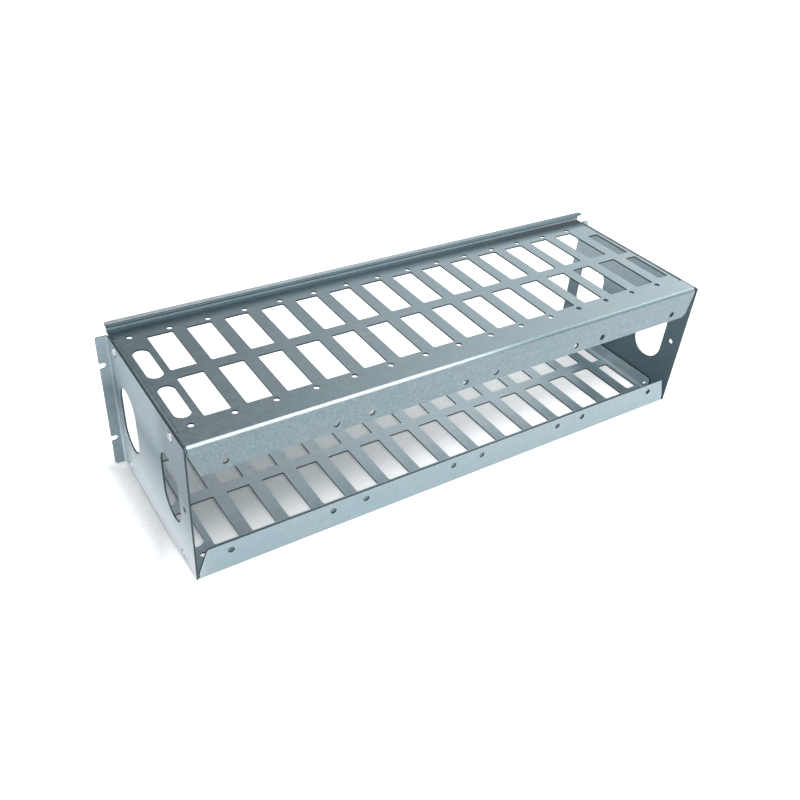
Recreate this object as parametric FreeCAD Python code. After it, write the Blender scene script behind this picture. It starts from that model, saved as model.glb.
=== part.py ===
import FreeCAD, Part
import math
import os

# Hard drive cage: an open box of four folded sheets held together by blind rivets.
# The 3.5 inch drives stand on edge between the top and bottom plates.
# Four 80 mm fans screw to the flanges along the front opening.
# Millimetres, X along the cage, Y to the rear, Z up.
# The origin is on the underside, midway between the rows of drive screws.

# Drives
DRIVES = 15
DRIVE_PITCH = 26.4
DRIVE_WIDTH = 101.6         # stands upright in the cage
DRIVE_CLEARANCE = 0.6
DRIVE_HOLE_SPAN = 101.6     # between the screw holes in a drive's side
DRIVE_HOLE = 4.0
DRIVE_HOLE_OFFSET = 6.6     # screw line to the left of the middle of each place
FRONT_ROW_INSET = 18.0      # front flange face to the front screw row

# Box
SHEET = 1.2                 # galvanised steel sheet
BEND = 1.2                  # inner radius of the folds
STEP_BEND = 0.4             # inner radius of the two pressed bends of the rear step
END_ALLOWANCE = 5.3         # from the end drive's place to the outer face of the side plate

# Windows between the drives
WINDOW_WIDTH = 17.0
WINDOW_BAR = 8.7            # cross bar between the front and rear windows
WINDOW_END_GAP = 4.3        # from the windows' outer ends to the screw rows
WINDOW_CORNER = 0.8         # cut off square windows' corners
WINDOW_OFFSET = 4.9         # screw line to the middle of the rib it lies on
LEFT_SLOT_WIDTH = 10.6
LEFT_SLOT_LENGTH = 34.4
LEFT_SLOT_BAR = 8.8
RIGHT_SLOT_WIDTH = 10.0
RIGHT_SLOT_LENGTH = 35.7
RIGHT_SLOT_BAR = 7.6
END_SLOT_SHIFT = 4.2        # bar between the end slots lies this far forward of the middle

# Fans
FANS = 4
FAN_PITCH = 96.5
FAN_HOLE_SPAN = 71.5        # screw spacing of an 80 mm fan
FAN_HOLE = 4.5
FAN_ROW_SHIFT = 0.85        # to the right of the cage's middle
FAN_DROP = 0.6              # below mid height

# Front flanges, bent towards each other
FLANGE_HEIGHT = 23.0
FLANGE_END_GAP = 1.1        # to the inner face of the side plate
MITRE_START = 5.5           # from the outer face of the plate
MITRE_INSET = 6.2
MITRE_INSET_SHORT = 3.2     # upper right end only
MITRE_CHAMFER = 3.0         # upper right end only
FLANGE_CORNER = 1.2

# Side flanges, bent inside the side plates and riveted to them
SIDE_FLANGE_HEIGHT = 12.5
SIDE_FLANGE_FRONT = 15.5    # from the front flange face
SIDE_FLANGE_LENGTH = 106.5
SIDE_FLANGE_CORNER = 2.0
RELIEF = 0.5                # cut between either end of a side flange and the flat plate
FLAT_SIDE_GAP = 0.2         # flat plate beyond the side flanges to the side plate

# Rear of the plates
STEP_FACE = 132.5           # front flange face to the front of the top plate's step
STEP_HEIGHT = 3.7
LIP_DEPTH = 5.6             # behind the front of the step
LIP_OVERRUN = 6.0           # runs on past the right end of the plate
LIP_CORNER = 1.6
BOTTOM_REAR = 132.0         # front flange face to the bottom plate's rear edge

# Side plates
SIDE_LEAD = 0.5             # front edges stand ahead of the front flanges
SIDE_LIFT = 1.0             # lower edge above the cage's underside
SIDE_GAP = 0.1              # upper edge below the top plate's face
SIDE_LENGTH = 129.1         # front edge to the back of the ear
SIDE_CORNER = 0.8
EAR_WIDTH = 7.6
EAR_CORNER = 1.8
EAR_NOTCH_WIDTH = 4.3
EAR_NOTCH_DEPTH = 4.4
EAR_NOTCH_SPAN = 59.6
CABLE_HOLE_WIDTH = 27.4
CABLE_HOLE_HEIGHT = 48.5
CABLE_HOLE_FRONT = 30.3     # front edge to the middle of the front hole
CABLE_HOLE_PITCH = 72.3
PIN_HOLE = 3.8
PIN_HOLE_INSET = 8.8
SIDE_HOLE_RISE = 0.8        # ear notches, cable holes and pin hole above mid height

# Blind rivets
RIVET_SHANK = 3.2
RIVET_FIT = 0.1             # hole over shank
RIVET_HEAD = 5.6
RIVET_HEAD_HEIGHT = 0.9
RIVET_CROWN = 2.8           # the head slopes from here to its rim
RIVET_BORE = 2.0            # left in the head by the pulled pin
RIVET_BORE_DEPTH = 0.8
RIVET_TAIL = 4.6
RIVET_TAIL_TIP = 2.8
RIVET_TAIL_LENGTH = 2.4
RIVET_FRONT_INSET = 4.5     # from the front end of a side flange
RIVET_REAR_INSET = 6.5
RIVET_INSET = 5.6           # from the upper and lower faces of the cage

# Places that follow from the sizes above
LENGTH = DRIVES * DRIVE_PITCH + 2 * END_ALLOWANCE
HEIGHT = DRIVE_WIDTH + DRIVE_CLEARANCE + 2 * SHEET
MID_HEIGHT = HEIGHT / 2
SIDE_HOLE_LEVEL = MID_HEIGHT + SIDE_HOLE_RISE
WINDOW_LENGTH = (DRIVE_HOLE_SPAN - WINDOW_BAR) / 2 - WINDOW_END_GAP
OUTER_BEND = BEND + SHEET
OUTER_STEP_BEND = STEP_BEND + SHEET
WALL_OUT = LENGTH / 2
WALL_IN = WALL_OUT - SHEET
BEND_LINE = WALL_IN - OUTER_BEND
FLANGE_END = WALL_IN - FLANGE_END_GAP
PLATE_END = WALL_IN - FLAT_SIDE_GAP
FRONT_FACE = -DRIVE_HOLE_SPAN / 2 - FRONT_ROW_INSET
SIDE_FRONT = FRONT_FACE - SIDE_LEAD
SIDE_REAR = SIDE_FRONT + SIDE_LENGTH
SIDE_FLANGE_START = FRONT_FACE + SIDE_FLANGE_FRONT
SIDE_FLANGE_STOP = SIDE_FLANGE_START + SIDE_FLANGE_LENGTH
CUT = 2 * SHEET             # cutters run this far past the sheet


def vec(x, y, z):
    return FreeCAD.Vector(x, y, z)


def box(x0, x1, y0, y1, z0, z1):
    return Part.makeBox(x1 - x0, y1 - y0, z1 - z0, vec(x0, y0, z0))


def drive_line(index):
    """X of the screw line of one drive, counted from the left."""
    return (index - (DRIVES - 1) / 2) * DRIVE_PITCH - DRIVE_HOLE_OFFSET


def rib_middle(index):
    """X of the middle of the rib beside one screw line."""
    return drive_line(index) + WINDOW_OFFSET


def fan_middle(index):
    return FAN_ROW_SHIFT + (index - (FANS - 1) / 2) * FAN_PITCH


def heading(a, b):
    length = math.hypot(b[0] - a[0], b[1] - a[1])
    return ((b[0] - a[0]) / length, (b[1] - a[1]) / length)


def shifted_corners(points, shift):
    """Sharp corners of a path moved to the right of its direction of travel."""
    moved = []
    for i, point in enumerate(points):
        near = heading(points[max(i - 1, 0)], points[max(i, 1)])
        far = heading(points[min(i, len(points) - 2)], points[min(i + 1, len(points) - 1)])
        across = (near[1], -near[0])
        if near != far:
            across = (near[1] + far[1], -near[0] - far[0])
        moved.append((point[0] + shift * across[0], point[1] + shift * across[1]))
    return moved


def fold_path(corners, bends, left_extra, right_extra, place):
    """Lines and quarter arcs through square corners; the extras widen left or right turns."""
    edges = []
    start = corners[0]
    for i in range(1, len(corners)):
        last = corners[i]
        if i < len(corners) - 1:
            near = heading(corners[i - 1], corners[i])
            far = heading(corners[i], corners[i + 1])
            turns_left = near[0] * far[1] - near[1] * far[0] > 0
            radius = bends[i - 1] + (left_extra if turns_left else right_extra)
            pull = radius * (1 - math.sqrt(0.5))
            last = (corners[i][0] - near[0] * radius, corners[i][1] - near[1] * radius)
            middle = (corners[i][0] + (far[0] - near[0]) * pull, corners[i][1] + (far[1] - near[1]) * pull)
            after = (corners[i][0] + far[0] * radius, corners[i][1] + far[1] * radius)
        if math.hypot(last[0] - start[0], last[1] - start[1]) > 1e-6:
            edges.append(Part.makeLine(place(start), place(last)))
        if i < len(corners) - 1:
            edges.append(Part.Arc(place(last), place(middle), place(after)).toShape())
            start = after
    return edges


def folded_sheet(points, bends, place, sweep):
    """Sheet folded square along a path: points are on one face, the sheet lies on their right."""
    other = shifted_corners(points, SHEET)
    edges = fold_path(points, bends, 0.0, SHEET, place)
    edges += fold_path(other, bends, SHEET, 0.0, place)
    edges += [Part.makeLine(place(points[i]), place(other[i])) for i in (0, -1)]
    wire = Part.Wire(Part.__sortEdges__(edges))
    return Part.Face(wire).extrude(sweep)


def edges_where(shape, test):
    """Short edges through the sheet's thickness whose middle passes a test."""
    return [e for e in shape.Edges if e.Length < 1.5 * SHEET and test(e.CenterOfMass)]


def near(a, b):
    return abs(a - b) < 0.05


def window_cutter(x, y, width, length):
    """Rectangle with blunt corners through a level plate, long side along Y."""
    low, high = HEIGHT - CUT, HEIGHT + CUT
    shape = box(x - width / 2, x + width / 2, y - length / 2, y + length / 2, low, high)
    upright = [e for e in shape.Edges if near(e.Length, high - low)]
    return shape.makeChamfer(WINDOW_CORNER, upright)


def obround_cutter(x, y, width, length):
    """Slot with round ends through a level plate, long side along Y."""
    low, high = HEIGHT - CUT, HEIGHT + CUT
    reach = (length - width) / 2
    shape = box(x - width / 2, x + width / 2, y - reach, y + reach, low, high)
    for end in (y - reach, y + reach):
        shape = shape.fuse(Part.makeCylinder(width / 2, high - low, vec(x, end, low)))
    return shape.removeSplitter()


def drive_hole_cutters():
    low = HEIGHT - CUT
    rows = (-DRIVE_HOLE_SPAN / 2, DRIVE_HOLE_SPAN / 2)
    places = [vec(drive_line(i), y, low) for i in range(DRIVES) for y in rows]
    return [Part.makeCylinder(DRIVE_HOLE / 2, 2 * CUT, place) for place in places]


def window_cutters():
    """Two rows of windows, and the narrower slots at the two ends."""
    cutters = []
    reach = (WINDOW_LENGTH + WINDOW_BAR) / 2
    for i in range(DRIVES - 1):
        x = (rib_middle(i) + rib_middle(i + 1)) / 2
        for y in (-reach, reach):
            cutters.append(window_cutter(x, y, WINDOW_WIDTH, WINDOW_LENGTH))
    reach = (LEFT_SLOT_LENGTH + LEFT_SLOT_BAR) / 2
    for y in (-reach - END_SLOT_SHIFT, reach - END_SLOT_SHIFT):
        cutters.append(obround_cutter(drive_line(0), y, LEFT_SLOT_WIDTH, LEFT_SLOT_LENGTH))
    rib = DRIVE_PITCH - WINDOW_WIDTH
    x = rib_middle(DRIVES - 1) + (rib + RIGHT_SLOT_WIDTH) / 2
    reach = (RIGHT_SLOT_LENGTH + RIGHT_SLOT_BAR) / 2
    for y in (-reach - END_SLOT_SHIFT, reach - END_SLOT_SHIFT):
        cutters.append(window_cutter(x, y, RIGHT_SLOT_WIDTH, RIGHT_SLOT_LENGTH))
    return cutters


def fan_hole_cutters(z):
    """Screw holes of the fans through a front flange."""
    holes = []
    for i in range(FANS):
        for side in (-1, 1):
            start = vec(fan_middle(i) + side * FAN_HOLE_SPAN / 2, FRONT_FACE - CUT, z)
            holes.append(Part.makeCylinder(FAN_HOLE / 2, 2 * CUT, start, vec(0, 1, 0)))
    return holes


def mitre_cutter(side, inset, chamfer):
    """Waste at one end of the top plate's front flange: square, then slanting to the free edge."""
    above = HEIGHT + CUT
    start = HEIGHT - MITRE_START
    free = HEIGHT - FLANGE_HEIGHT
    corners = [(WALL_OUT, above), (FLANGE_END, above), (FLANGE_END, start)]
    corners += [(FLANGE_END - inset, free + chamfer), (FLANGE_END - inset - chamfer, free)]
    corners += [(FLANGE_END - inset - chamfer, free - CUT), (WALL_OUT, free - CUT)]
    points = [vec(side * x, FRONT_FACE - CUT, z) for x, z in corners]
    face = Part.Face(Part.makePolygon(points + points[:1]))
    return face.extrude(vec(0, CUT + OUTER_BEND, 0))


def side_flange(side):
    """Flange bent down from one end of the top plate."""
    free = HEIGHT - SIDE_FLANGE_HEIGHT
    points = [(side * BEND_LINE, HEIGHT), (side * WALL_IN, HEIGHT), (side * WALL_IN, free)]
    if side < 0:
        points.reverse()
    sweep = vec(0, SIDE_FLANGE_LENGTH, 0)
    flange = folded_sheet(points, [BEND], lambda p: vec(p[0], SIDE_FLANGE_START, p[1]), sweep)
    return flange.makeFillet(SIDE_FLANGE_CORNER, edges_where(flange, lambda m: near(m.z, free)))


def flanged_plate(points, bends, right_inset, right_chamfer):
    """Plate in the top position with its front and side flanges."""
    plate = folded_sheet(points, bends, lambda p: vec(-PLATE_END, p[0], p[1]), vec(2 * PLATE_END, 0, 0))
    free = HEIGHT - FLANGE_HEIGHT
    waste = [mitre_cutter(-1, MITRE_INSET, 0.0), mitre_cutter(1, right_inset, right_chamfer)]
    for side in (-1, 1):
        ends = sorted((side * BEND_LINE, side * WALL_OUT))
        reach = (SIDE_FLANGE_START - RELIEF, SIDE_FLANGE_STOP + RELIEF)
        waste.append(box(*ends, *reach, HEIGHT - CUT, HEIGHT + CUT))
    plate = plate.cut(waste)
    plate = plate.makeFillet(FLANGE_CORNER, edges_where(plate, lambda m: near(m.z, free)))
    plate = plate.fuse([side_flange(-1), side_flange(1)]).removeSplitter()
    cutters = drive_hole_cutters() + window_cutters()
    return plate.cut(cutters + rivet_hole_cutters(-1) + rivet_hole_cutters(1))


def top_plate():
    """Top plate, stepped up at the rear into a lip that runs on past the right end."""
    step = FRONT_FACE + STEP_FACE
    back = step + LIP_DEPTH
    lip = HEIGHT + STEP_HEIGHT
    points = [(FRONT_FACE, HEIGHT - FLANGE_HEIGHT), (FRONT_FACE, HEIGHT)]
    points += [(step, HEIGHT), (step, lip), (back, lip)]
    plate = flanged_plate(points, [BEND, STEP_BEND, STEP_BEND], MITRE_INSET_SHORT, MITRE_CHAMFER)
    overrun = box(PLATE_END, PLATE_END + LIP_OVERRUN, step + OUTER_STEP_BEND, back, lip - SHEET, lip)
    plate = plate.fuse(overrun).removeSplitter()
    left_end = lambda m: near(m.x, -PLATE_END) and near(m.y, back)
    right_end = lambda m: near(m.x, PLATE_END + LIP_OVERRUN)
    plate = plate.makeFillet(LIP_CORNER, edges_where(plate, lambda m: left_end(m) or right_end(m)))
    return plate.cut(fan_hole_cutters(MID_HEIGHT - FAN_DROP + FAN_HOLE_SPAN / 2))


def bottom_plate():
    """Bottom plate: the same plate turned over, with a plain rear edge."""
    rear = FRONT_FACE + BOTTOM_REAR
    points = [(FRONT_FACE, HEIGHT - FLANGE_HEIGHT), (FRONT_FACE, HEIGHT), (rear, HEIGHT)]
    plate = flanged_plate(points, [BEND], MITRE_INSET, 0.0)
    plate = plate.mirror(vec(0, 0, MID_HEIGHT), vec(0, 0, 1))
    return plate.cut(fan_hole_cutters(MID_HEIGHT - FAN_DROP - FAN_HOLE_SPAN / 2))


def ear_notch_cutter(z):
    """Screw notch that opens at the left ear's outer edge."""
    radius = EAR_NOTCH_WIDTH / 2
    edge = -WALL_OUT - EAR_WIDTH
    middle = edge + EAR_NOTCH_DEPTH - radius
    low, high = SIDE_REAR - CUT, SIDE_REAR + CUT
    slot = box(edge - CUT, middle, low, high, z - radius, z + radius)
    return slot.fuse(Part.makeCylinder(radius, high - low, vec(middle, low, z), vec(0, 1, 0)))


def cable_hole_cutter(y):
    """Tall opening with round ends in the left side plate."""
    start = -WALL_OUT - CUT
    half = CABLE_HOLE_WIDTH / 2
    reach = CABLE_HOLE_HEIGHT / 2 - half
    low, high = SIDE_HOLE_LEVEL - reach, SIDE_HOLE_LEVEL + reach
    shape = box(start, start + 2 * CUT, y - half, y + half, low, high)
    for z in (low, high):
        shape = shape.fuse(Part.makeCylinder(half, 2 * CUT, vec(start, y, z), vec(1, 0, 0)))
    return shape.removeSplitter()


def left_side_plate():
    """Left side plate, folded outwards at the rear into an ear with two screw notches."""
    ear = SIDE_REAR - SHEET
    points = [(-WALL_OUT, SIDE_FRONT), (-WALL_OUT, ear), (-WALL_OUT - EAR_WIDTH, ear)]
    rise = vec(0, 0, HEIGHT - SIDE_GAP - SIDE_LIFT)
    plate = folded_sheet(points, [BEND], lambda p: vec(p[0], p[1], SIDE_LIFT), rise)
    ear_ends = edges_where(plate, lambda m: near(m.x, -WALL_OUT - EAR_WIDTH))
    plate = plate.makeFillet(EAR_CORNER, ear_ends)
    front_ends = edges_where(plate, lambda m: near(m.y, SIDE_FRONT))
    plate = plate.makeFillet(SIDE_CORNER, front_ends)
    pin = vec(-WALL_OUT - CUT, SIDE_FRONT + PIN_HOLE_INSET, SIDE_HOLE_LEVEL)
    cutters = [Part.makeCylinder(PIN_HOLE / 2, 2 * CUT, pin, vec(1, 0, 0))]
    for side in (-1, 1):
        cutters.append(ear_notch_cutter(SIDE_HOLE_LEVEL + side * EAR_NOTCH_SPAN / 2))
    for i in range(2):
        cutters.append(cable_hole_cutter(SIDE_FRONT + CABLE_HOLE_FRONT + i * CABLE_HOLE_PITCH))
    return plate.cut(cutters + rivet_hole_cutters(-1))


def right_side_plate():
    return left_side_plate().mirror(vec(0, 0, 0), vec(1, 0, 0))


def rivet_places():
    """Rivet axes on either side plate, as (y, z)."""
    rows = (SIDE_FLANGE_START + RIVET_FRONT_INSET, SIDE_FLANGE_STOP - RIVET_REAR_INSET)
    return [(y, z) for y in rows for z in (RIVET_INSET, HEIGHT - RIVET_INSET)]


def rivet_hole_cutters(side):
    radius = (RIVET_SHANK + RIVET_FIT) / 2
    inward = vec(-side, 0, 0)
    starts = [vec(side * (WALL_OUT + CUT), y, z) for y, z in rivet_places()]
    return [Part.makeCylinder(radius, 3 * CUT, start, inward) for start in starts]


def right_rivet():
    """Blind rivet along X with its head seated at the origin, pin bore in the head."""
    top = RIVET_HEAD_HEIGHT
    grip = -2 * SHEET
    tip = grip - RIVET_TAIL_LENGTH
    floor = top - RIVET_BORE_DEPTH
    outline = [(floor, 0), (floor, RIVET_BORE), (top, RIVET_BORE), (top, RIVET_CROWN)]
    outline += [(0, RIVET_HEAD), (0, RIVET_SHANK), (grip, RIVET_SHANK)]
    outline += [(grip, RIVET_TAIL), (tip, RIVET_TAIL_TIP), (tip, 0), (floor, 0)]
    points = [vec(along, 0, diameter / 2) for along, diameter in outline]
    return Part.Face(Part.makePolygon(points)).revolve(vec(0, 0, 0), vec(1, 0, 0), 360)


def rivets():
    """All the rivets, as separate solids in one group."""
    placed = []
    for y, z in rivet_places():
        rivet = right_rivet()
        rivet.translate(vec(WALL_OUT, y, z))
        placed += [rivet, rivet.mirror(vec(0, 0, 0), vec(1, 0, 0))]
    return Part.makeCompound(placed)


NODES = {
    "top_plate": top_plate,
    "bottom_plate": bottom_plate,
    "left_side_plate": left_side_plate,
    "right_side_plate": right_side_plate,
    "rivets": rivets,
}

os.makedirs("parts", exist_ok=True)
for name, make in NODES.items():
    make().exportStep("parts/%s.step" % name)
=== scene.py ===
import math
import bmesh
import bpy
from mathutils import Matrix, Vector
from mathutils.bvhtree import BVHTree


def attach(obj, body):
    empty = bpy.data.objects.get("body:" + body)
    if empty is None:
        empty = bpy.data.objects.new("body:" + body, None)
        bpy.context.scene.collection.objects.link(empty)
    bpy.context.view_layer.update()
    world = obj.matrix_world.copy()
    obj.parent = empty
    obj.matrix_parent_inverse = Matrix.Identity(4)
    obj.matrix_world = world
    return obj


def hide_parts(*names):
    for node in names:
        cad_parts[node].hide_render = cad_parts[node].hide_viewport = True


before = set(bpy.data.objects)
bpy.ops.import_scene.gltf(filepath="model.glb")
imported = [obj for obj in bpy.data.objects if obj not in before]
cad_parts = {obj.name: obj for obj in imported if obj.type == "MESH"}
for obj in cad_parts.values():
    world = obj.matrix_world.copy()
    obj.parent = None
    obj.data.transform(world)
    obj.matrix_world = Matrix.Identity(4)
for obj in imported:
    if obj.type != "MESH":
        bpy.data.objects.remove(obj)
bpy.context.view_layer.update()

# Sizes of the scene, in metres

FLOOR_REACH = 6.0
FLOOR_DROP = 0.0002
CAGE_HALF = (0.204, 0.066)
THICKEST_SKIN = 0.0016      # solid metal behind a face of the sheet is thinner than this
JUST_BELOW = 0.00001        # the ray that measures it starts this far under the face
WELD_REACH = 0.000002
EDGE_ROUND = 0.00012

# Angles, in degrees

FLAT_ANGLE = 0.3
SHEET_SHARP_ANGLE = 30
ROUNDED_ANGLE = 50
RIVET_SHARP_ANGLE = 40

# Blind rivets, in metres: radius and height along the axis, from the wall's outer face

RIVET_WALL = 0.2033
RIVET_ROWS = (-0.0488, 0.0467)
RIVET_HEIGHTS = (0.0056, 0.0990)
RIVET_STEPS = 32
RIVET_PIN = 0.00101         # radius of the steel pin and the groove round it, painted dark: bare steel, darkened as painted shade of the hollow
HEAD_OUTLINE = ((0.0, 0.00028), (0.00062, 0.00026), (0.00078, 0.00018), (0.00094, 0.00010),
                (0.00100, 0.00022), (0.00102, 0.00062), (0.00110, 0.00080), (0.00128, 0.00089),
                (0.00150, 0.00088), (0.00180, 0.00080), (0.00215, 0.00064), (0.00245, 0.00044),
                (0.00268, 0.00026), (0.00279, 0.00012), (0.00280, 0.0))
SHANK_OUTLINE = ((0.00160, 0.0), (0.00160, -0.00240), (0.00230, -0.00240))
TAIL_OUTLINE = ((0.00230, -0.00275), (0.00222, -0.00330), (0.00200, -0.00390),
                (0.00172, -0.00438), (0.00145, -0.00468), (0.00128, -0.00478), (0.00108, -0.00476),
                (0.00098, -0.00465), (0.00092, -0.00445), (0.0, -0.00440))

# Colours and roughness, each pair for the two ends of a noise

NOISE_SPAN = (0.3, 0.7)             # most of a noise's values lie in it
BUMP_DISTANCE = 0.0002
WHITE = (1.0, 1.0, 1.0, 1.0)
BLACK = (0.0, 0.0, 0.0, 1.0)
# The three sheets are one galvanised steel: the top sheet's darker colour is painted shade, the bottom and
# side sheets' lighter ones are painted light
TOP_SHADED_COLOUR = (0.375, 0.455, 0.485)
BOTTOM_LIT_COLOUR = (0.55, 0.65, 0.69)
SIDE_LIT_COLOUR = (0.58, 0.655, 0.695)
TOP_ROUGH = (0.34, 0.42)
OTHER_ROUGH = (0.36, 0.44)
RIVET_COLOURS = ((0.74, 0.77, 0.80, 1.0), (0.88, 0.90, 0.92, 1.0))
RIVET_ROUGH = (0.14, 0.26)
# Cut edges and rivet pins: bare steel, painted darker still as the shade on cut walls, in gaps and in the
# rivets' hollows
CUT_AND_SHADE_COLOURS = ((0.055, 0.075, 0.085, 1.0), (0.11, 0.145, 0.16, 1.0))
CUT_ROUGH = (0.40, 0.60)
FLOOR_COLOURS = ((0.61, 0.63, 0.64, 1.0), (0.66, 0.68, 0.69, 1.0))

# Tones of every sheet, as factors

SPANGLE_TONES = (0.965, 1.03)
FLAKE_TONES = (0.96, 1.04)
CLOUD_TONES = (0.98, 1.02)
STREAK_TONES = (0.97, 1.03)
CLOUD_ROUGH = (-0.015, 0.015)       # added to the roughness
SHADE_DEPTHS = (1.18, 1.0, 0.94)    # powers for red, green and blue: the deeper the painted shade, the bluer
ENDS = (-0.2, 0.2)                  # left and right
FLANGE_ROWS = (-0.0678, -0.0668)    # from the front flange to what lies behind it

# Painted light and shade on the top plate, by place

# painted shade to the left, painted light to the right
TOP_SHADES = (0.84, 1.03)
STEP_ROWS = (0.0480, 0.0615)        # painted shade ahead of the pressed step
STEP_SHADE = 0.22
FAR_STEP_ROWS = (0.050, 0.0615)     # and deeper painted shade there to the right
FAR_STEP_REACH = (-0.02, 0.16)
FAR_STEP_SHADE = 0.20
LIP_HEIGHTS = (0.1048, 0.1051)      # the lip is all that lies higher
FACE_HEIGHTS = (0.1064, 0.1070)     # from its rising face to the fold above
# painted light on the lip's rising face, painted shade on the fold above it
FACE_SHADE = 1.98
FOLD_SHADE = 0.26
CREST_ROWS = (0.0648, 0.0654)       # the lip's top, behind the fold
# painted light on the lip's top at the left, painted shade at the right
CREST_SHADES = (2.40, 0.55)
# painted highlight along the left of the front fold, painted shade along its right
FRONT_FOLD_HEIGHTS = (0.1026, 0.1034)
FRONT_FOLD_REACH = (-0.08, 0.06)
FRONT_FOLD_SHADES = (1.7, 0.38)
FLANGE_SHADES = (0.86, 1.14)

# Painted light and shade on the bottom plate, by place

# painted light, a little stronger to the right
BOTTOM_SHADES = (1.04, 1.10)
# painted shade behind the front flange, deeper to the right
BEHIND_ROWS = (-0.0660, -0.0200)
BEHIND_SHADE = 0.75
RIGHT_REACH = (0.02, 0.18)
RIGHT_SHADE = 0.82
# painted shade on the front flange, painted light on the side flanges
LOW_FLANGE_SHADE = 0.85
SIDE_FLANGE_REACH = (0.1955, 0.2000)
SIDE_FLANGE_SHADE = 1.15

# Painted light and shade on the side plates, by place

INNER_SHADES = (0.66, 1.34)         # painted shade low or in front, and painted light high up towards the rear
INNER_HEIGHTS = (0.050, 0.078)
INNER_ROWS = (-0.050, -0.022)
SKIN_REACH = (RIVET_WALL - 0.0008, RIVET_WALL - 0.0004)     # from the inner to the outer face
EAR_REACH = (RIVET_WALL + 0.0003, RIVET_WALL + 0.0016)      # from the outer face to the ear
EAR_HEIGHTS = (0.01, 0.09)
# painted shade on the ears
EAR_SHADES = (0.64, 0.74)
SIDE_SHADES = (0.62, 1.42)          # plain, and painted light low on the left side plate
LOW_HEIGHTS = (0.016, 0.062)
LEFT_REACH = (-0.1, 0.1)
RING_PAINTED_SHADOW = 0.35                   # painted shadow round the rivets' heads
RING_REACH = (0.0029, 0.0040)

# Tones of the floor, whose glow is for the camera alone; under the cage, its darker tone is painted shadow
# and its glow painted light

BELOW_PAINTED_SHADOW = (0.66, 0.69, 0.70, 1.0)      # painted shadow under the cage
BELOW_EDGE = 0.02
GLOW = 0.76
SIDE_GLOW_REACH = 0.028
FRONT_GLOW_ROWS = (-0.075, -0.055)
REAR_GLOW_ROWS = (0.045, 0.080)
# painted light: under the cage the floor glows for the camera, brighter to the front and to the right
INSIDE_PAINTED_LIGHT_ROWS = (-0.07, -0.012)
INSIDE_PAINTED_LIGHT_REACH = (-0.2, 0.1)
INSIDE_PAINTED_LIGHT_FACTORS = (0.80, 1.2)
RIGHT_PAINTED_LIGHT_REACH = (-0.16, 0.18)
RIGHT_PAINTED_LIGHT = 0.45
FAR_GLOW_REACH = (0.05, 1.0)
FAR_GLOW = 0.5

# Light of the room, by the parts of a direction

REAR_WAYS = (0.15, 0.80)
REAR_LEVELS = (0.09, 1.42)
HIGH_WAYS = (0.62, 0.90)
HIGH_LEVELS = (1.0, 0.35)
FRONT_WAYS = (0.0, 0.8)
FRONT_LEVELS = (0.15, 0.50)
BEHIND_WAYS = (-0.15, 0.25)
ROOM_COLOUR = (0.97, 1.0, 1.02, 1.0)

# Soft boxes: name, place, point aimed at, width, height and power

SOFT_BOXES = (
    ("box_overhead", (0.35, -0.25, 1.5), (0.0, 0.0, 0.05), 1.1, 1.1, 8.4),
    ("box_front", (0.25, -1.3, 1.2), (0.0, -0.1, 0.0), 2.2, 1.4, 17.0),
    ("box_right", (1.5, -0.45, 0.85), (0.1, -0.15, 0.0), 2.2, 1.5, 21.0),
    ("box_left", (-1.3, 0.1, 1.0), (-0.25, 0.0, 0.0), 2.2, 1.8, 21.0),
)

# Photograph's camera

CAMERA_PLACE = (-0.31483, -0.41545, 0.40231)
CAMERA_TURN = (52.381, -3.673, -32.250)
CAMERA_LENS = 38.432
CAMERA_SENSOR = 36.0
CAMERA_SHIFT = (0.015912, 0.025843)


def make_camera():
    data = bpy.data.cameras.new("photo_camera")
    data.sensor_width = CAMERA_SENSOR
    data.lens = CAMERA_LENS
    data.shift_x, data.shift_y = CAMERA_SHIFT
    data.clip_start = 0.01
    data.clip_end = 50.0
    camera = bpy.data.objects.new("photo_camera", data)
    camera.location = CAMERA_PLACE
    camera.rotation_euler = [math.radians(a) for a in CAMERA_TURN]
    bpy.context.scene.collection.objects.link(camera)
    bpy.context.scene.camera = camera


# Node helpers

MIX_INPUTS = (0, 6, 7)      # factor and the two colours of a mix node
MIX_OUTPUT = 2              # its colour


class Nodes:
    """A small helper that adds nodes to one tree and links them."""

    def __init__(self, tree):
        self.tree = tree

    def fill(self, socket, value):
        if isinstance(value, bpy.types.NodeSocket):
            self.tree.links.new(value, socket)
        else:
            socket.default_value = value

    def add(self, kind, inputs=None, **settings):
        node = self.tree.nodes.new(kind)
        for name, value in settings.items():
            setattr(node, name, value)
        for name, value in (inputs or {}).items():
            self.fill(node.inputs[name], value)
        return node

    def math(self, operation, a, b=0.0):
        node = self.add("ShaderNodeMath", operation=operation)
        self.fill(node.inputs[0], a)
        self.fill(node.inputs[1], b)
        return node.outputs[0]

    def ranged(self, value, low, high, new_low, new_high, smooth=False):
        node = self.add("ShaderNodeMapRange", {
            "Value": value, "From Min": low, "From Max": high,
            "To Min": new_low, "To Max": new_high}, clamp=True)
        node.interpolation_type = "SMOOTHSTEP" if smooth else "LINEAR"
        return node.outputs["Result"]

    def mixed(self, factor, a, b, blend="MIX"):
        node = self.add("ShaderNodeMix", data_type="RGBA", blend_type=blend)
        for index, value in zip(MIX_INPUTS, (factor, a, b)):
            self.fill(node.inputs[index], value)
        return node.outputs[MIX_OUTPUT]


def new_material(name):
    material = bpy.data.materials.new(name)
    material.use_nodes = True
    material.node_tree.nodes.clear()
    return material, Nodes(material.node_tree)


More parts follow.
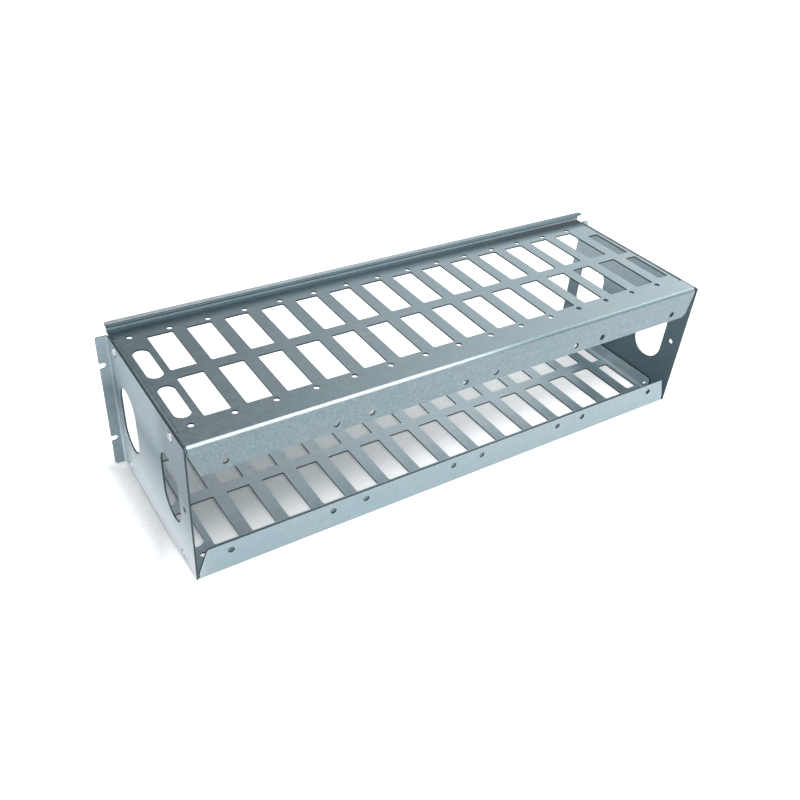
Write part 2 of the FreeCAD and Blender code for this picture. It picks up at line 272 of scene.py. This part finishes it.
def end_metal(n, base, rough, relief, strength, metallic):
    """Adds a metal's shader, with a bump from its relief."""
    bump = n.add("ShaderNodeBump", {"Height": relief, "Strength": strength, "Distance": BUMP_DISTANCE})
    shader = n.add("ShaderNodeBsdfPrincipled", {
        "Base Color": base, "Roughness": rough, "Normal": bump.outputs[0]})
    shader.inputs["Metallic"].default_value = metallic
    n.add("ShaderNodeOutputMaterial", {"Surface": shader.outputs[0]})


def grained_metal(name, scale, colours, roughs, strength, metallic):
    """A bare metal whose colour, roughness and relief follow one fine noise."""
    material, n = new_material(name)
    place = n.add("ShaderNodeTexCoord").outputs["Object"]
    grain = n.add("ShaderNodeTexNoise", {"Vector": place, "Scale": scale, "Detail": 3.0}).outputs["Fac"]
    base = n.mixed(n.ranged(grain, *NOISE_SPAN, 0.0, 1.0), *colours)
    rough = n.ranged(grain, *NOISE_SPAN, *roughs)
    end_metal(n, base, rough, grain, strength, metallic)
    return material


# Galvanised steel: fine spangle, faint rolling streaks, dull patches

def galvanised(name, colour, roughs, shade_of):
    """Sheet's skin; shade_of gives a further factor of its tone from the place on the sheet, which is
    painted light and shade.
    """
    material, n = new_material(name)
    place = n.add("ShaderNodeTexCoord").outputs["Object"]
    crystals = n.add("ShaderNodeTexVoronoi", {"Vector": place, "Scale": 420.0, "Randomness": 1.0})
    cell = n.add("ShaderNodeSeparateColor", {"Color": crystals.outputs["Color"]}).outputs[0]
    flakes = n.add("ShaderNodeTexVoronoi", {"Vector": place, "Scale": 900.0, "Randomness": 1.0})
    flake = n.add("ShaderNodeSeparateColor", {"Color": flakes.outputs["Color"]}).outputs[1]
    cloud = n.add("ShaderNodeTexNoise", {"Vector": place, "Scale": 16.0, "Detail": 4.0, "Roughness": 0.6})
    grain = n.add("ShaderNodeTexNoise", {"Vector": place, "Scale": 1600.0, "Detail": 2.0, "Roughness": 0.6})
    stretch = n.add("ShaderNodeMapping", {"Vector": place, "Scale": (6.0, 420.0, 420.0)})
    streak = n.add("ShaderNodeTexNoise", {"Vector": stretch.outputs[0], "Scale": 1.0, "Detail": 3.0})

    tone = n.ranged(cell, 0.0, 1.0, *SPANGLE_TONES)
    tone = n.math("MULTIPLY", tone, n.ranged(flake, 0.0, 1.0, *FLAKE_TONES))
    tone = n.math("MULTIPLY", tone, n.ranged(cloud.outputs["Fac"], *NOISE_SPAN, *CLOUD_TONES))
    tone = n.math("MULTIPLY", tone, n.ranged(streak.outputs["Fac"], *NOISE_SPAN, *STREAK_TONES))
    shade = shade_of(n, n.add("ShaderNodeSeparateXYZ", {"Vector": place}))
    tint = n.mixed(n.ranged(cloud.outputs["Fac"], 0.35, 0.65, 0.0, 1.0),
                   (colour[0] * 0.97, colour[1], colour[2] * 1.01, 1.0),
                   (colour[0] * 1.02, colour[1], colour[2] * 0.99, 1.0))
    tones = [n.math("MULTIPLY", tone, n.math("POWER", shade, depth)) for depth in SHADE_DEPTHS]
    shaded = n.add("ShaderNodeCombineColor", {"Red": tones[0], "Green": tones[1], "Blue": tones[2]})
    base = n.mixed(1.0, tint, shaded.outputs[0], "MULTIPLY")

    rough = n.ranged(cell, 0.0, 1.0, *roughs)
    rough = n.math("ADD", rough, n.ranged(cloud.outputs["Fac"], *NOISE_SPAN, *CLOUD_ROUGH))
    relief = n.math("ADD", n.math("MULTIPLY", cell, 0.35), n.math("MULTIPLY", grain.outputs["Fac"], 0.65))
    end_metal(n, base, rough, relief, 0.12, 0.9)
    return material


def top_shade(n, parts):
    """Painted shade ahead of the pressed step, painted light and shade on the lip, a painted highlight at
    the left of the front fold and painted shade at its right; mottled on the flange; darker to the left.
    """
    x, y, z = parts.outputs
    # painted shade ahead of the pressed step, deeper to the right
    ahead = n.ranged(y, *STEP_ROWS, 1.0, STEP_SHADE, True)
    far_step = n.math("MULTIPLY", n.ranged(y, *FAR_STEP_ROWS, 0.0, 1.0),
                      n.ranged(x, *FAR_STEP_REACH, 0.0, 1.0))
    ahead = n.math("MULTIPLY", ahead, n.ranged(far_step, 0.0, 1.0, 1.0, FAR_STEP_SHADE))
    # painted light on the lip's rising face and top, painted shade on its fold
    face = n.ranged(z, *FACE_HEIGHTS, FACE_SHADE, FOLD_SHADE)
    crest = n.math("MULTIPLY", n.ranged(y, *CREST_ROWS, 0.0, 1.0), n.ranged(x, *ENDS, *CREST_SHADES))
    lip = n.math("MULTIPLY", n.math("MAXIMUM", face, crest), n.ranged(z, *LIP_HEIGHTS, 0.0, 1.0))
    place = n.add("ShaderNodeTexCoord").outputs["Object"]
    spots = n.add("ShaderNodeTexNoise", {"Vector": place, "Scale": 600.0, "Detail": 3.0, "Roughness": 0.6})
    mottled = n.ranged(spots.outputs["Fac"], *NOISE_SPAN, *FLANGE_SHADES)
    flange = n.ranged(y, *FLANGE_ROWS, 1.0, 0.0)
    front = n.math("ADD", n.math("MULTIPLY", mottled, flange), n.math("SUBTRACT", 1.0, flange))
    # painted highlight at the left of the front fold, painted shade at its right
    rounded = n.math("MULTIPLY", flange, n.ranged(z, *FRONT_FOLD_HEIGHTS, 0.0, 1.0))
    left, right = FRONT_FOLD_SHADES
    fold_highlight_and_shade = n.math("MULTIPLY", rounded, n.ranged(x, *FRONT_FOLD_REACH, left - 1.0, right - 1.0, True))
    front = n.math("MULTIPLY", front, n.math("ADD", 1.0, fold_highlight_and_shade))
    # painted shade to the left, painted light to the right
    along = n.ranged(x, *ENDS, *TOP_SHADES)
    return n.math("MULTIPLY", along, n.math("MULTIPLY", front, n.math("MAXIMUM", ahead, lip)))


def bottom_shade(n, parts):
    """Painted shade behind the front flange and to the right, painted light on the riveted side flanges."""
    x, y, _ = parts.outputs
    # painted shade behind the front flange and to the right, painted light on the side flanges
    behind = n.ranged(y, *BEHIND_ROWS, BEHIND_SHADE, 1.0)
    behind = n.math("MULTIPLY", behind, n.ranged(x, *RIGHT_REACH, 1.0, RIGHT_SHADE))
    flange = n.ranged(y, *FLANGE_ROWS, LOW_FLANGE_SHADE, 0.0)
    ends = n.ranged(n.math("ABSOLUTE", x), *SIDE_FLANGE_REACH, 1.0, SIDE_FLANGE_SHADE)
    along = n.ranged(x, *ENDS, *BOTTOM_SHADES)
    return n.math("MULTIPLY", along, n.math("MULTIPLY", n.math("MAXIMUM", behind, flange), ends))


def side_shade(n, parts):
    """Painted shade inside, on the ears and round the rivets; painted light high inside towards the rear
    and low down on the left plate.
    """
    x, y, z = parts.outputs
    across = n.math("ABSOLUTE", x)
    # painted shade inside, low or in front; painted light high towards the rear
    lit = n.math("MULTIPLY", n.ranged(z, *INNER_HEIGHTS, 0.0, 1.0), n.ranged(y, *INNER_ROWS, 0.0, 1.0))
    inside = n.ranged(lit, 0.0, 1.0, *INNER_SHADES)
    inner = n.math("MAXIMUM", inside, n.ranged(across, *SKIN_REACH, 0.0, 1.0))
    # painted shade on the ears
    ear = n.ranged(across, *EAR_REACH, 0.0, 1.0)
    # painted light low down on the left plate
    low = n.math("MULTIPLY", n.ranged(z, *LOW_HEIGHTS, 1.0, 0.0), n.ranged(x, *LEFT_REACH, 1.0, 0.0))
    rise = n.math("MULTIPLY", n.ranged(low, 0.0, 1.0, *SIDE_SHADES), n.math("SUBTRACT", 1.0, ear))
    beyond = n.math("MULTIPLY", n.ranged(z, *EAR_HEIGHTS, *EAR_SHADES), ear)
    # painted shadow in a ring round each rivet's head
    rows = [n.math("ABSOLUTE", n.math("SUBTRACT", y, place)) for place in RIVET_ROWS]
    levels = [n.math("ABSOLUTE", n.math("SUBTRACT", z, place)) for place in RIVET_HEIGHTS]
    apart = n.math("ADD", n.math("POWER", n.math("MINIMUM", *rows), 2.0),
                   n.math("POWER", n.math("MINIMUM", *levels), 2.0))
    ring = n.ranged(n.math("SQRT", apart), *RING_REACH, RING_PAINTED_SHADOW, 1.0)
    return n.math("MULTIPLY", ring, n.math("MULTIPLY", inner, n.math("ADD", rise, beyond)))


# Floor: pale paper that shows white and keeps the shadow, with a painted shadow and painted light under the
# cage

def floor_material():
    material, n = new_material("floor_paper")
    place = n.add("ShaderNodeTexCoord").outputs["Object"]
    fibre = n.add("ShaderNodeTexNoise", {"Vector": place, "Scale": 300.0, "Detail": 3.0})
    base = n.mixed(n.ranged(fibre.outputs["Fac"], *NOISE_SPAN, 0.0, 1.0), *FLOOR_COLOURS)
    x, y, _ = n.add("ShaderNodeSeparateXYZ", {"Vector": place}).outputs
    across = n.math("ABSOLUTE", x)
    depth = n.math("ABSOLUTE", y)
    half_x, half_y = CAGE_HALF
    # painted shadow: the floor under the cage is darker
    below = n.math("MULTIPLY", n.ranged(across, half_x - BELOW_EDGE, half_x, 1.0, 0.0),
                   n.ranged(depth, half_y - BELOW_EDGE, half_y, 1.0, 0.0))
    base = n.mixed(below, base, n.mixed(1.0, base, BELOW_PAINTED_SHADOW, "MULTIPLY"))
    diffuse = n.add("ShaderNodeBsdfDiffuse", {"Color": base})

    beside = n.math("SUBTRACT", across, half_x)
    ahead = n.math("SUBTRACT", depth, half_y)
    near = n.ranged(beside, 0.0, SIDE_GLOW_REACH, 0.0, GLOW, True)
    near = n.math("MAXIMUM", near, n.ranged(y, *FRONT_GLOW_ROWS, GLOW, 0.0, True))
    # painted light on the floor under the cage, brighter to the front and to the right
    inside = n.math("MULTIPLY", n.ranged(y, *INSIDE_PAINTED_LIGHT_ROWS, GLOW, 0.0, True),
                    n.ranged(x, *INSIDE_PAINTED_LIGHT_REACH, *INSIDE_PAINTED_LIGHT_FACTORS))
    inside = n.math("ADD", inside, n.ranged(x, *RIGHT_PAINTED_LIGHT_REACH, 0.0, RIGHT_PAINTED_LIGHT, True))
    near = n.math("MAXIMUM", near, n.math("MINIMUM", inside, GLOW))
    near = n.math("MAXIMUM", near, n.ranged(y, *REAR_GLOW_ROWS, 0.0, GLOW, True))
    far = n.ranged(n.math("MAXIMUM", beside, ahead), *FAR_GLOW_REACH, 0.0, FAR_GLOW, True)
    seen = n.add("ShaderNodeLightPath").outputs["Is Camera Ray"]
    strength = n.math("MULTIPLY", seen, n.math("ADD", near, far))
    glow = n.add("ShaderNodeEmission", {"Color": WHITE, "Strength": strength})
    both = n.add("ShaderNodeAddShader")
    n.tree.links.new(diffuse.outputs[0], both.inputs[0])
    n.tree.links.new(glow.outputs[0], both.inputs[1])
    n.add("ShaderNodeOutputMaterial", {"Surface": both.outputs[0]})
    return material


def make_floor():
    mesh = bpy.data.meshes.new("floor")
    r = FLOOR_REACH
    z = -FLOOR_DROP
    mesh.from_pydata([(-r, -r, z), (r, -r, z), (r, r, z), (-r, r, z)], [], [(0, 1, 2, 3)])
    mesh.materials.append(floor_material())
    floor = bpy.data.objects.new("floor", mesh)
    bpy.context.scene.collection.objects.link(floor)


# Light: a room that is bright to the right, dark to the left and high behind

def make_world():
    world = bpy.data.worlds.new("room")
    world.use_nodes = True
    world.node_tree.nodes.clear()
    n = Nodes(world.node_tree)
    way = n.add("ShaderNodeTexCoord").outputs["Generated"]
    x, y, z = n.add("ShaderNodeSeparateXYZ", {"Vector": way}).outputs
    rear = n.math("MULTIPLY", n.ranged(x, *REAR_WAYS, *REAR_LEVELS), n.ranged(z, *HIGH_WAYS, *HIGH_LEVELS))
    front = n.ranged(z, *FRONT_WAYS, *FRONT_LEVELS)
    behind = n.ranged(y, *BEHIND_WAYS, 0.0, 1.0, True)
    level = n.math("ADD", n.math("MULTIPLY", rear, behind),
                   n.math("MULTIPLY", front, n.math("SUBTRACT", 1.0, behind)))
    light = n.add("ShaderNodeBackground", {"Color": n.mixed(level, BLACK, ROOM_COLOUR), "Strength": 1.0})
    white = n.add("ShaderNodeBackground", {"Color": WHITE, "Strength": 1.0})
    seen = n.add("ShaderNodeLightPath").outputs["Is Camera Ray"]
    pick = n.add("ShaderNodeMixShader", {"Fac": seen})
    n.tree.links.new(light.outputs[0], pick.inputs[1])
    n.tree.links.new(white.outputs[0], pick.inputs[2])
    n.add("ShaderNodeOutputWorld", {"Surface": pick.outputs[0]})
    bpy.context.scene.world = world


def soft_box(name, place, target, width, height, power):
    data = bpy.data.lights.new(name, "AREA")
    data.shape = "RECTANGLE"
    data.size = width
    data.size_y = height
    data.energy = power
    lamp = bpy.data.objects.new(name, data)
    lamp.location = place
    aim = Vector(target) - Vector(place)
    lamp.rotation_euler = aim.to_track_quat("-Z", "Y").to_euler()
    bpy.context.scene.collection.objects.link(lamp)


# Sheet metal: the CAD form with softened edges, and raw metal where it was cut, painted darker than bare
# steel as shade on the cut walls and in the gaps

def dressed(node, name, skin, cut_edge_with_painted_shade):
    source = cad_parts[node]
    work = bmesh.new()
    work.from_mesh(source.data)
    work.transform(source.matrix_world)
    bmesh.ops.remove_doubles(work, verts=work.verts[:], dist=WELD_REACH)
    work.normal_update()
    tree = BVHTree.FromBMesh(work)
    for face in work.faces:
        start = face.calc_center_median() - face.normal * JUST_BELOW
        struck, _, _, depth = tree.ray_cast(start, -face.normal)
        face.material_index = 0 if struck is not None and depth < THICKEST_SKIN else 1
        face.smooth = True
    bmesh.ops.dissolve_limit(work, angle_limit=math.radians(FLAT_ANGLE), verts=work.verts[:],
                             edges=work.edges[:], delimit={"MATERIAL"})
    mesh = bpy.data.meshes.new(name)
    work.to_mesh(mesh)
    work.free()
    mesh.materials.append(skin)
    mesh.materials.append(cut_edge_with_painted_shade)
    mesh.set_sharp_from_angle(angle=math.radians(SHEET_SHARP_ANGLE))
    piece = bpy.data.objects.new(name, mesh)
    bpy.context.scene.collection.objects.link(piece)
    soften = piece.modifiers.new("soften", "BEVEL")
    soften.width = EDGE_ROUND
    soften.segments = 2
    soften.limit_method = "ANGLE"
    soften.angle_limit = math.radians(ROUNDED_ANGLE)
    shade = piece.modifiers.new("shade", "WEIGHTED_NORMAL")
    shade.mode = "FACE_AREA"
    shade.weight = 100
    shade.keep_sharp = True
    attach(piece, "root")
    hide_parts(node)


# Blind rivets: domed head with the pulled pin left in it, rounded tail inside

def lathe(work, outline, base, out):
    """Turns an outline of radii and heights round an axis along X."""
    rings = []
    for radius, height in outline:
        place = base + Vector((out * height, 0.0, 0.0))
        if radius == 0.0:
            rings.append([work.verts.new(place)])
            continue
        ring = []
        for step in range(RIVET_STEPS):
            turn = 2 * math.pi * step / RIVET_STEPS
            spoke = Vector((0.0, radius * math.cos(turn), radius * math.sin(turn)))
            ring.append(work.verts.new(place + spoke))
        rings.append(ring)
    for a, b in zip(rings, rings[1:]):
        for step in range(RIVET_STEPS):
            after = (step + 1) % RIVET_STEPS
            corners = [a[step % len(a)], a[after % len(a)], b[after % len(b)], b[step % len(b)]]
            work.faces.new(list(dict.fromkeys(corners)))


def make_rivets(metal, pin):
    work = bmesh.new()
    for side in (-1, 1):
        for y in RIVET_ROWS:
            for z in RIVET_HEIGHTS:
                base = Vector((side * RIVET_WALL, y, z))
                lathe(work, HEAD_OUTLINE + SHANK_OUTLINE + TAIL_OUTLINE, base, side)
    bmesh.ops.recalc_face_normals(work, faces=work.faces[:])
    for face in work.faces:
        face.smooth = True
        middle = face.calc_center_median()
        y = min(RIVET_ROWS, key=lambda v: abs(v - middle.y))
        z = min(RIVET_HEIGHTS, key=lambda v: abs(v - middle.z))
        if math.hypot(middle.y - y, middle.z - z) < RIVET_PIN:
            face.material_index = 1
    mesh = bpy.data.meshes.new("blind_rivets")
    work.to_mesh(mesh)
    work.free()
    mesh.materials.append(metal)
    mesh.materials.append(pin)
    mesh.set_sharp_from_angle(angle=math.radians(RIVET_SHARP_ANGLE))
    piece = bpy.data.objects.new("blind_rivets", mesh)
    bpy.context.scene.collection.objects.link(piece)
    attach(piece, "root")
    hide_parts("rivets")


bpy.context.scene.view_settings.view_transform = "Standard"
make_camera()
make_floor()
make_world()
for box in SOFT_BOXES:
    soft_box(*box)

top_steel = galvanised("top_galvanised_painted_shading", TOP_SHADED_COLOUR, TOP_ROUGH, top_shade)
bottom_steel = galvanised("bottom_galvanised_painted_shading", BOTTOM_LIT_COLOUR, OTHER_ROUGH, bottom_shade)
side_steel = galvanised("side_galvanised_painted_shading", SIDE_LIT_COLOUR, OTHER_ROUGH, side_shade)
# cut edges and pins: bare steel, painted dark as shade in gaps and hollows
raw = grained_metal("cut_edge_with_painted_shade", 1400.0, CUT_AND_SHADE_COLOURS, CUT_ROUGH, 0.25, 0.85)
rivet_metal = grained_metal("rivet_aluminium", 900.0, RIVET_COLOURS, RIVET_ROUGH, 0.1, 0.95)
dressed("top_plate", "top_sheet", top_steel, raw)
dressed("bottom_plate", "bottom_sheet", bottom_steel, raw)
dressed("left_side_plate", "left_side_sheet", side_steel, raw)
dressed("right_side_plate", "right_side_sheet", side_steel, raw)
make_rivets(rivet_metal, raw)
